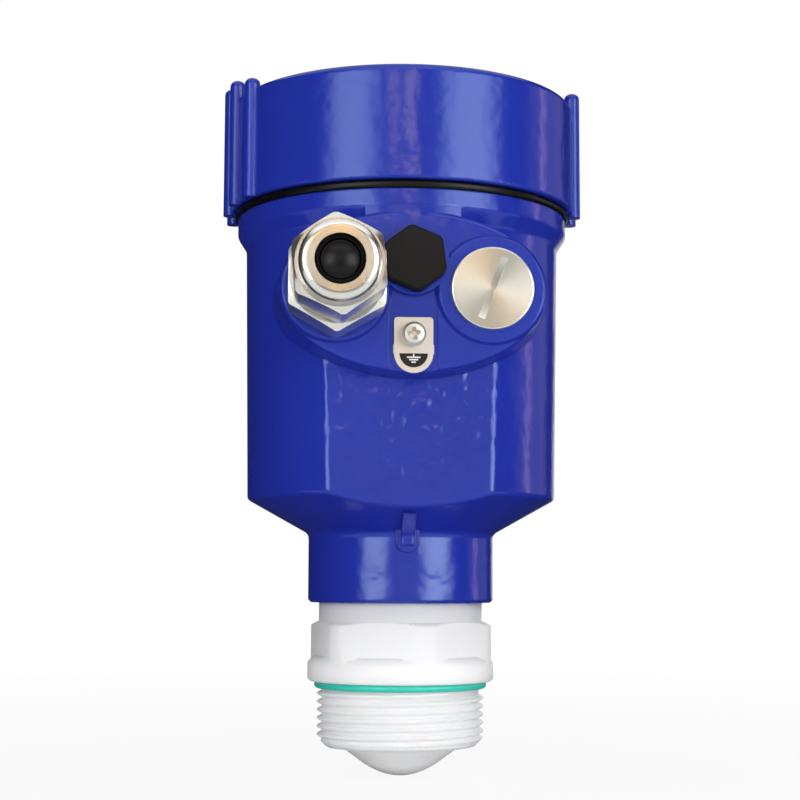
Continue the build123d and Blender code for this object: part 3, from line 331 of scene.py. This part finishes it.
def keepMesh(name, bm, finish, body, smoothAngle=35):
    bmesh.ops.recalc_face_normals(bm, faces=bm.faces[:])
    mesh = bpy.data.meshes.new(name)
    bm.to_mesh(mesh)
    bm.free()
    mesh.materials.append(finishes[finish])
    mesh.shade_smooth()
    mesh.set_sharp_from_angle(angle=math.radians(smoothAngle))
    piece = bpy.data.objects.new(name, mesh)
    bpy.context.collection.objects.link(piece)
    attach(piece, body)
    return piece


def frontPlace(x, y, z):
    # local Z looks out of the front, as the fittings' axes do
    return Matrix.Translation(Vector((x, y, z)) * mm) @ Matrix.Rotation(math.radians(90), 4, "X")


# Threads: one ridge profile spun along its helix, as place within one pitch and height over the root

ridgeHalf = [(0.50, -0.35), (0.50, 0.0), (0.44, 0.03), (0.37, 0.20), (0.13, 0.88), (0.07, 0.97), (0.0, 1.0)]
ridgeSink = 1.05              # at its ends a ridge sinks this many times its height into the root
processThread = {"crest": 23.9, "root": 22.42, "pitch": 2.309, "bottom": -17.454, "turns": 6.35, "phase": 180,
                 "steps": 72, "fade": 0.18, "endRadius": 21.6, "endZ": -18.2,
                 "finish": "turned white fluoropolymer"}
lidThread = {"crest": 45.75, "root": 45.45, "pitch": 2.0, "bottom": 137.0, "turns": 7.5, "phase": 40,
             "steps": 96, "fade": 0.2, "finish": "powder coat on cast aluminium"}
glandThread = {"crest": 9.25, "root": 8.95, "pitch": 1.5, "bottom": 1.4, "turns": 5.6, "phase": 200,
               "steps": 48, "fade": 0.2, "startY": -66.5, "finish": "nickel plate on the gland"}
plugThread = {"crest": 9.95, "root": 9.65, "pitch": 1.5, "bottom": -10.0, "turns": 5.5, "phase": 90,
              "steps": 48, "fade": 0.2, "startY": -49.7, "finish": "nickel plate on the plug"}
earthThread = {"crest": 2.1, "root": 1.83, "pitch": 0.7, "bottom": -5.8, "turns": 8.0, "phase": 0,
               "steps": 24, "fade": 0.3, "startY": -47.4, "axisZ": 93.4, "finish": "pressed stainless steel"}


def makeThread(name, thread, place, body):
    height = thread["crest"] - thread["root"]
    profile = ridgeHalf + [(-z, h) for z, h in reversed(ridgeHalf[:-1])]
    bm = bmesh.new()
    corners = [bm.verts.new((thread["root"] + h * height, 0, z * thread["pitch"])) for z, h in profile]
    edges = [bm.edges.new((a, b)) for a, b in zip(corners, corners[1:] + corners[:1])]
    bmesh.ops.contextual_create(bm, geom=edges)
    turn = Matrix.Rotation(math.radians(thread["phase"]), 3, "Z")
    bmesh.ops.rotate(bm, verts=bm.verts, cent=(0, 0, 0), matrix=turn)
    steps = round(thread["turns"] * thread["steps"])
    spun = bmesh.ops.spin(bm, geom=corners + edges, axis=(0, 0, 1), cent=(0, 0, 0), use_merge=False,
                          dvec=(0, 0, thread["pitch"] * thread["turns"] / steps),
                          angle=math.radians(360 * thread["turns"]), steps=steps)
    lastEdges = [e for e in spun["geom_last"] if isinstance(e, bmesh.types.BMEdge)]
    bmesh.ops.contextual_create(bm, geom=lastEdges)
    bmesh.ops.translate(bm, verts=bm.verts, vec=(0, 0, thread["bottom"]))
    for number, corner in enumerate(bm.verts):
        turned = number // len(profile) / thread["steps"]
        left = thread["turns"] - turned
        rise = min(1.0, turned / thread["fade"], left / thread["fade"])
        radius = math.hypot(corner.co.x, corner.co.y)
        wanted = radius - (1 - rise) * height * ridgeSink
        if "endRadius" in thread:            # the chamfer at the thread's end cuts the first ridge
            wanted = min(wanted, thread["endRadius"] + corner.co.z - thread["endZ"])
        corner.co.x *= wanted / radius
        corner.co.y *= wanted / radius
    bmesh.ops.transform(bm, matrix=place @ Matrix.Scale(mm, 4), verts=bm.verts)
    keepMesh(name, bm, thread["finish"], body)


fittingBody = {"weld": 0.001, "crestSpare": 0.02, "threadTop": -2, "smoothAngle": 30}


def makeFittingBody():
    # the fitting with its thread cylinder taken down to the thread's root
    bm = bmesh.new()
    bm.from_mesh(nodes["process_fitting"].data)
    bmesh.ops.remove_doubles(bm, verts=bm.verts, dist=fittingBody["weld"] * mm)
    for corner in bm.verts:
        radius = math.hypot(corner.co.x, corner.co.y)
        onCrest = abs(radius - processThread["crest"] * mm) < fittingBody["crestSpare"] * mm
        if onCrest and corner.co.z < fittingBody["threadTop"] * mm:
            corner.co.x *= processThread["root"] * mm / radius
            corner.co.y *= processThread["root"] * mm / radius
    piece = keepMesh("fittingBody", bm, processThread["finish"], "housing",
                     fittingBody["smoothAngle"])
    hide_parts("process_fitting")


makeFittingBody()
upright = Matrix.Identity(4)
glandPlace = frontPlace(entries["glandX"], glandThread["startY"], entries["axisZ"])
plugPlace = frontPlace(entries["plugX"], plugThread["startY"], entries["axisZ"])
earthPlace = frontPlace(0, earthThread["startY"], earthThread["axisZ"])
makeThread("processThreadRidge", processThread, upright, "housing")
makeThread("lidThreadRidge", lidThread, upright, "housing")
makeThread("glandThreadRidge", glandThread, glandPlace, "housing")
makeThread("plugThreadRidge", plugThread, plugPlace, "blind_plug")
makeThread("earthScrewThread", earthThread, earthPlace, "earth_screw")
print("threads cut")

# Enamelled half-moon on the earth clamp, with the plain earth sign. A bar is given as its length and height.

earthMark = {"radius": 3.78, "thickness": 0.27, "floor": -48.36, "middle": 88.5, "barWidth": 0.34,
             "bars": [(3.6, -1.15), (2.4, -1.8), (1.2, -2.45)], "stemTop": -0.25, "raised": 0.06}
markPlace = frontPlace(0, earthMark["floor"], earthMark["middle"]) @ Matrix.Scale(mm, 4)


def makeEarthMark():
    bm = bmesh.new()
    bmesh.ops.create_circle(bm, cap_ends=True, radius=earthMark["radius"], segments=64)
    bmesh.ops.bisect_plane(bm, geom=bm.verts[:] + bm.edges[:] + bm.faces[:], plane_co=(0, 0, 0),
                           plane_no=(0, 1, 0), clear_outer=True)
    raised = bmesh.ops.extrude_face_region(bm, geom=bm.faces[:])
    top = [v for v in raised["geom"] if isinstance(v, bmesh.types.BMVert)]
    bmesh.ops.translate(bm, verts=top, vec=(0, 0, earthMark["thickness"]))
    bmesh.ops.transform(bm, matrix=markPlace, verts=bm.verts)
    keepMesh("earthMark", bm, "black enamel", "earth_clamp")


def makeEarthSign():
    bm = bmesh.new()
    width = earthMark["barWidth"]
    shapes = [(length, width, y) for length, y in earthMark["bars"]]
    stem = earthMark["stemTop"] - earthMark["bars"][0][1]
    shapes.append((width, stem, earthMark["stemTop"] - stem / 2))
    for length, height, y in shapes:
        made = bmesh.ops.create_cube(bm, size=1.0)
        bmesh.ops.scale(bm, vec=(length, height, earthMark["raised"]), verts=made["verts"])
        lift = earthMark["thickness"] + earthMark["raised"] / 2
        bmesh.ops.translate(bm, vec=(0, y, lift), verts=made["verts"])
    bmesh.ops.transform(bm, matrix=markPlace, verts=bm.verts)
    keepMesh("earthSign", bm, "white enamel", "earth_clamp")


makeEarthMark()
makeEarthSign()
print("earth mark made")

# Camera at the photograph's viewing angle; place and film width in millimetres, clip distances in metres

cameraPlace = {"x": -33.3, "y": -488.9, "z": 28.7, "turn": -3.86, "pitch": 96.11, "roll": 0.2, "lens": 75.645,
               "film": 36, "clipStart": 0.01, "clipEnd": 20}


def makeCamera():
    cameraData = bpy.data.cameras.new("photoCamera")
    cameraData.lens = cameraPlace["lens"]
    cameraData.sensor_width = cameraPlace["film"]
    cameraData.clip_start = cameraPlace["clipStart"]
    cameraData.clip_end = cameraPlace["clipEnd"]
    camera = bpy.data.objects.new("photoCamera", cameraData)
    bpy.context.collection.objects.link(camera)
    place = Matrix.Translation(Vector((cameraPlace["x"], cameraPlace["y"], cameraPlace["z"])) * mm)
    for angle, axis in (("turn", "Z"), ("pitch", "X"), ("roll", "Z")):
        place = place @ Matrix.Rotation(math.radians(cameraPlace[angle]), 4, axis)
    camera.matrix_world = place
    bpy.context.scene.camera = camera


makeCamera()

# Studio: pale floor, soft lamps that light the set, cards and dark cloth that only gloss and metal mirror.
# Turns are in degrees from the camera's side of the object. floorZ, layerGap, aimHeight and the cards'
# heights are in millimetres, the other lengths in metres.

studio = {"floorZ": -27.0, "floorSize": 30.0, "floorColour": "F2F2F2", "floorRoughness": 0.9,
          "fadeFrom": 0.1, "fadeTo": 0.6, "whiteShare": 0.88, "fill": 0.38, "backdrop": 1.0,
          "aimHeight": 85, "wattsPerGlow": 4, "wallRadius": 1.5, "wallHeight": 1.7, "wallShade": "232327",
          "darkShade": "2A2A2E", "layerGap": 0.1, "patchWidth": 1.2, "patchFront": -0.6, "patchBack": -0.06,
          "cardAway": 1.2, "cardGap": 0.01, "cardSteps": 24, "dimOver": 0.45}
lamps = [
    {"name": "keyLight", "turn": 13, "rise": 6, "away": 1.1, "width": 0.9, "height": 0.5, "glow": 2.4},
    {"name": "leftFill", "turn": -78, "rise": 10, "away": 1.1, "width": 0.7, "height": 0.7, "glow": 0.7},
    {"name": "lowFill", "turn": 2, "rise": 0, "away": 0.9, "width": 1.2, "height": 0.2, "glow": 4.0},
    {"name": "rightFill", "turn": 75, "rise": 20, "away": 1.1, "width": 0.7, "height": 0.7, "glow": 1.0},
    {"name": "backFill", "turn": 165, "rise": 22, "away": 1.2, "width": 0.5, "height": 1.0, "glow": 1.5},
    {"name": "topLight", "turn": 0, "rise": 88, "away": 1.3, "width": 1.2, "height": 1.2, "glow": 0.3},
]
# the soft values are shares of a card's width or height; topShare dims a card's upper part
cards = [
    {"name": "leftCard", "turns": (-54, -9), "heights": (-20, 760), "softTurn": 0.36, "softTop": 0.2,
     "softBottom": 0.0, "topShare": 0.62, "glow": 6.9, "colour": "FFFFFF"},
    {"name": "rightCard", "turns": (19, 70), "heights": (-20, 760), "softTurn": 0.36, "softTop": 0.2,
     "softBottom": 0.0, "topShare": 0.58, "glow": 8.6, "colour": "FFFFFF"},
    {"name": "leftStrip", "turns": (-9, -1.5), "heights": (395, 620), "softTurn": 0.3, "softTop": 0.2,
     "softBottom": 0.15, "glow": 5.6, "colour": "FFC88C"},
    {"name": "rightStrip", "turns": (0.5, 11), "heights": (395, 620), "softTurn": 0.3, "softTop": 0.2,
     "softBottom": 0.15, "glow": 6.6, "colour": "FFC88C"},
    {"name": "warmCard", "turns": (-8, 20), "heights": (285, 352), "softTurn": 0.3, "softTop": 0.35,
     "softBottom": 0.4, "glow": 1.2, "colour": "FAFFF0"},
    {"name": "frontCard", "turns": (-10, 20), "heights": (-20, 300), "softTurn": 0.3, "softTop": 0.2,
     "softBottom": 0.0, "glow": 0.22, "colour": "FFFFFF"},
    {"name": "sideCard", "turns": (86, 136), "heights": (-20, 760), "softTurn": 0.15, "softTop": 0.2,
     "softBottom": 0.0, "glow": 0.45, "colour": "FFEAEA"},
    {"name": "sideStrip", "turns": (101, 109), "heights": (-20, 760), "softTurn": 0.5, "softTop": 0.2,
     "softBottom": 0.0, "glow": 3.4, "colour": "FFD0D0"},
    {"name": "topCard", "turns": (-60, 70), "heights": (950, 1500), "softTurn": 0.3, "softTop": 0.2,
     "softBottom": 0.2, "glow": 2.6, "colour": "FFFFFF"},
    {"name": "backCard", "turns": (150, 180), "heights": (-20, 620), "softTurn": 0.3, "softTop": 0.2,
     "softBottom": 0.0, "glow": 0.9, "colour": "FFFFFF"},
]


def addLamp(plan):
    turn = math.radians(plan["turn"] + cameraPlace["turn"])
    rise = math.radians(plan["rise"])
    out = Vector((math.sin(turn) * math.cos(rise), -math.cos(turn) * math.cos(rise), math.sin(rise)))
    lampData = bpy.data.lights.new(plan["name"], "AREA")
    lampData.shape = "RECTANGLE"
    lampData.size = plan["width"]
    lampData.size_y = plan["height"]
    lampData.energy = plan["glow"] * studio["wattsPerGlow"] * plan["width"] * plan["height"]
    lamp = bpy.data.objects.new(plan["name"], lampData)
    lamp.location = Vector((0, 0, studio["aimHeight"])) * mm + out * plan["away"]
    lamp.rotation_euler = out.to_track_quat("Z", "Y").to_euler()
    lamp.visible_camera = False
    lamp.visible_glossy = False
    bpy.context.collection.objects.link(lamp)


def stageMesh(name, bm, finish):
    mesh = bpy.data.meshes.new(name)
    bm.to_mesh(mesh)
    bm.free()
    mesh.materials.append(finish)
    thing = bpy.data.objects.new(name, mesh)
    bpy.context.collection.objects.link(thing)
    return thing


def whiteRays(tree):
    # 1 for the rays that see the white set: from the camera, off gloss and through glass
    rays = addNode(tree, "ShaderNodeLightPath")
    seen = addNode(tree, "ShaderNodeMath", {"operation": "MAXIMUM"},
                   {0: (rays, "Is Camera Ray"), 1: (rays, "Is Glossy Ray")})
    return addNode(tree, "ShaderNodeMath", {"operation": "MAXIMUM"},
                   {0: (seen, 0), 1: (rays, "Is Transmission Ray")})


def makeFloor():
    # white sweep: glows white to the camera and to mirrors, and still takes a soft shadow
    finish, tree, surface, place = startFinish("white studio floor", studio["floorColour"],
                                               studio["floorRoughness"])
    # near the object the floor takes its shadow, further out it fades into the white backdrop
    distance = addNode(tree, "ShaderNodeVectorMath", {"operation": "LENGTH"}, {0: (place, "Object")})
    fade = addNode(tree, "ShaderNodeMapRange", {"From Min": studio["fadeFrom"], "From Max": studio["fadeTo"],
                   "To Min": studio["whiteShare"]}, {"Value": (distance, "Value")})
    white = whiteRays(tree)
    share = addNode(tree, "ShaderNodeMath", {"operation": "MULTIPLY"}, {0: (white, 0), 1: (fade, 0)})
    glow = addNode(tree, "ShaderNodeEmission", {"Color": (1, 1, 1, 1), "Strength": 1.0})
    mixed = addNode(tree, "ShaderNodeMixShader", {}, {0: (share, 0), 1: (surface, 0), 2: (glow, 0)})
    tree.links.new(mixed.outputs[0], tree.nodes["Material Output"].inputs["Surface"])
    bm = bmesh.new()
    bmesh.ops.create_grid(bm, x_segments=1, y_segments=1, size=studio["floorSize"] / 2)
    bmesh.ops.translate(bm, verts=bm.verts, vec=(0, 0, studio["floorZ"] * mm))
    stageMesh("studioFloor", bm, finish)


def addFlag(name, bm, finish):
    flag = stageMesh(name, bm, finish)
    flag.visible_camera = False
    flag.visible_diffuse = False
    flag.visible_transmission = False
    flag.visible_shadow = False


def startGlow(name, colour, strength):
    finish = bpy.data.materials.new(name)
    finish.use_nodes = True
    tree = finish.node_tree
    tree.nodes.remove(tree.nodes["Principled BSDF"])
    glow = addNode(tree, "ShaderNodeEmission", {"Color": linear(colour), "Strength": strength})
    surface = tree.nodes["Material Output"].inputs["Surface"]
    tree.links.new(glow.outputs[0], surface)
    return finish, tree, glow, surface


def softEdge(distance, width):
    share = min(1.0, distance / width) if width > 0 else 1.0
    return share * share * (3 - 2 * share)


def makeCard(plan, away):
    # card in front of the dark cloth, whose share of glow in the mesh fades towards its soft edges
    finish, tree, glow, surface = startGlow(plan["name"], plan["colour"], plan["glow"])
    share = addNode(tree, "ShaderNodeAttribute", {"attribute_name": "share"})
    clear = addNode(tree, "ShaderNodeBsdfTransparent")
    mixed = addNode(tree, "ShaderNodeMixShader", {}, {0: (share, "Fac"), 1: (clear, 0), 2: (glow, 0)})
    tree.links.new(mixed.outputs[0], surface)
    bm = bmesh.new()
    glowShare = bm.verts.layers.float.new("share")
    bmesh.ops.create_grid(bm, x_segments=studio["cardSteps"], y_segments=studio["cardSteps"], size=0.5)
    low, high = plan["turns"]
    bottom, top = plan["heights"]
    for corner in bm.verts:
        across, up = corner.co.x + 0.5, corner.co.y + 0.5
        turn = math.radians(low + across * (high - low) + cameraPlace["turn"])
        height = (bottom + up * (top - bottom)) * mm
        corner.co = Vector((away * math.sin(turn), -away * math.cos(turn), height))
        sides = softEdge(across, plan["softTurn"]) * softEdge(1 - across, plan["softTurn"])
        ends = softEdge(up, plan["softBottom"]) * softEdge(1 - up, plan["softTop"])
        dimmer = 1 - (1 - plan.get("topShare", 1.0)) * softEdge(up, studio["dimOver"])
        corner[glowShare] = sides * ends * dimmer
    addFlag(plan["name"], bm, finish)


def makeDarkWall():
    # dark cloth round the set, so that gloss and metal have contrast
    bm = bmesh.new()
    bmesh.ops.create_circle(bm, cap_ends=False, radius=studio["wallRadius"], segments=96)
    raised = bmesh.ops.extrude_edge_only(bm, edges=bm.edges[:])
    top = [v for v in raised["geom"] if isinstance(v, bmesh.types.BMVert)]
    bmesh.ops.translate(bm, verts=top, vec=(0, 0, studio["wallHeight"]))
    bmesh.ops.translate(bm, verts=bm.verts, vec=(0, 0, studio["floorZ"] * mm))
    addFlag("studioFlags", bm, startGlow("dark studio cloth", studio["wallShade"], 1.0)[0])


def makeDarkFloor():
    # dark cloth just over the floor, so that the blue underside mirrors no white
    bm = bmesh.new()
    bmesh.ops.create_circle(bm, cap_ends=True, radius=studio["wallRadius"], segments=96)
    bmesh.ops.translate(bm, verts=bm.verts, vec=(0, 0, (studio["floorZ"] + studio["layerGap"]) * mm))
    addFlag("studioDarkFloor", bm, startGlow("dark studio floor cloth", studio["darkShade"], 1.0)[0])


def makePaleFloor():
    # the pale floor shows only in front, where the fittings' bright metal mirrors it
    bm = bmesh.new()
    bmesh.ops.create_grid(bm, x_segments=1, y_segments=1, size=0.5)
    depth = studio["patchBack"] - studio["patchFront"]
    bmesh.ops.scale(bm, verts=bm.verts, vec=(studio["patchWidth"], depth, 1))
    height = (studio["floorZ"] + 2 * studio["layerGap"]) * mm
    bmesh.ops.translate(bm, verts=bm.verts, vec=(0, studio["patchBack"] - depth / 2, height))
    addFlag("studioPaleFloor", bm, startGlow("pale studio floor card", studio["floorColour"], 1.0)[0])


def makeWorld():
    world = bpy.data.worlds.new("studioWorld")
    world.use_nodes = True
    bpy.context.scene.world = world
    tree = world.node_tree
    output = tree.nodes["World Output"]
    fill = addNode(tree, "ShaderNodeBackground", {"Color": (1, 1, 1, 1), "Strength": studio["fill"]})
    white = addNode(tree, "ShaderNodeBackground", {"Color": (1, 1, 1, 1), "Strength": studio["backdrop"]})
    mixed = addNode(tree, "ShaderNodeMixShader", {}, {0: (whiteRays(tree), 0), 1: (fill, 0), 2: (white, 0)})
    tree.links.new(mixed.outputs[0], output.inputs["Surface"])


for plan in lamps:
    addLamp(plan)
makeFloor()
makeDarkWall()
makeDarkFloor()
makePaleFloor()
for number, plan in enumerate(cards):
    makeCard(plan, studio["cardAway"] - number * studio["cardGap"])
makeWorld()
bpy.context.scene.view_settings.view_transform = "Standard"
print("studio ready")
